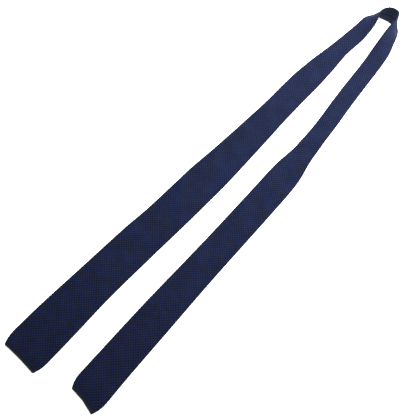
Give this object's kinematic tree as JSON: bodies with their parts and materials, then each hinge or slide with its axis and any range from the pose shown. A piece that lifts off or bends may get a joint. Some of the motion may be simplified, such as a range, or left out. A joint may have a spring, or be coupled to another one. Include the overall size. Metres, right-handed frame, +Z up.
{
  "type": "necktie",
  "caption": "Square-ended knitted necktie laid face up in a narrow V, its neck standing on edge in a loop; both legs swing and fold.",
  "frame": {"origin": "middle of the tie's footprint, on the table it lies on", "axes": "+Y from the two square ends towards the neck loop, +Z up off the table (the face side of both legs), +X towards the tail"},
  "size_m": [0.1418, 0.6978, 0.0268],
  "materials": {
    "knit": "matte navy pin-dot knit",
    "welt": "matte darker navy rib",
    "keeper": "matte navy knitted band",
    "stay_tape": "plain woven tape",
    "woven_tag": "blank satin-woven tag",
    "thread": "twisted sewing thread"
  },
  "bodies": {
    "loop": {"loop_casing": "knit", "loop_seam_thread": "thread", "loop_stay_tape": "stay_tape"},
    "front_neck": {"front_neck_casing": "knit", "front_neck_seam_thread": "thread", "front_neck_stay_tape": "stay_tape", "front_tape_tack": "thread"},
    "front_blade": {"front_blade_casing": "knit", "front_blade_seam_thread": "thread"},
    "front_tip": {"front_tip_casing": "knit", "front_tip_seam_thread": "thread", "front_end_welt": "welt", "front_end_stitches": "thread", "keeper_loop": "keeper", "keeper_bar_tacks": "thread", "maker_label": "woven_tag", "maker_label_stitches": "thread"},
    "tail_neck": {"tail_neck_casing": "knit", "tail_neck_seam_thread": "thread", "tail_neck_stay_tape": "stay_tape", "tail_tape_tack": "thread"},
    "tail_blade": {"tail_blade_casing": "knit", "tail_blade_seam_thread": "thread"},
    "tail_tip": {"tail_tip_casing": "knit", "tail_tip_seam_thread": "thread", "tail_end_welt": "welt", "tail_end_stitches": "thread", "care_tag": "woven_tag", "care_tag_stitches": "thread"}
  },
  "joints": [
    {"name": "front_swing", "type": "hinge", "parent": "loop", "child": "front_neck", "pos_m": [-0.01424, 0.33931, 0.01447], "axis": [0, 0, -1], "range_deg": [-1, 35]},
    {"name": "tail_swing", "type": "hinge", "parent": "loop", "child": "tail_neck", "pos_m": [0.029, 0.33917, 0.01362], "axis": [0, 0, 1], "range_deg": [-1, 35]},
    {"name": "front_neck_fold", "type": "hinge", "parent": "front_neck", "child": "front_blade", "pos_m": [-0.01813, 0.24974, 0.00383], "axis": [-1, 0, 0], "range_deg": [0, 110]},
    {"name": "front_middle_fold", "type": "hinge", "parent": "front_blade", "child": "front_tip", "pos_m": [-0.02995, -0.06826, 0.00383], "axis": [-1, 0, 0], "range_deg": [0, 145]},
    {"name": "tail_neck_fold", "type": "hinge", "parent": "tail_neck", "child": "tail_blade", "pos_m": [0.04547, 0.09874, 0.00383], "axis": [-1, 0, 0], "range_deg": [0, 110]},
    {"name": "tail_middle_fold", "type": "hinge", "parent": "tail_blade", "child": "tail_tip", "pos_m": [0.04688, -0.13226, 0.00383], "axis": [-1, 0, 0], "range_deg": [0, 145]}
  ]
}
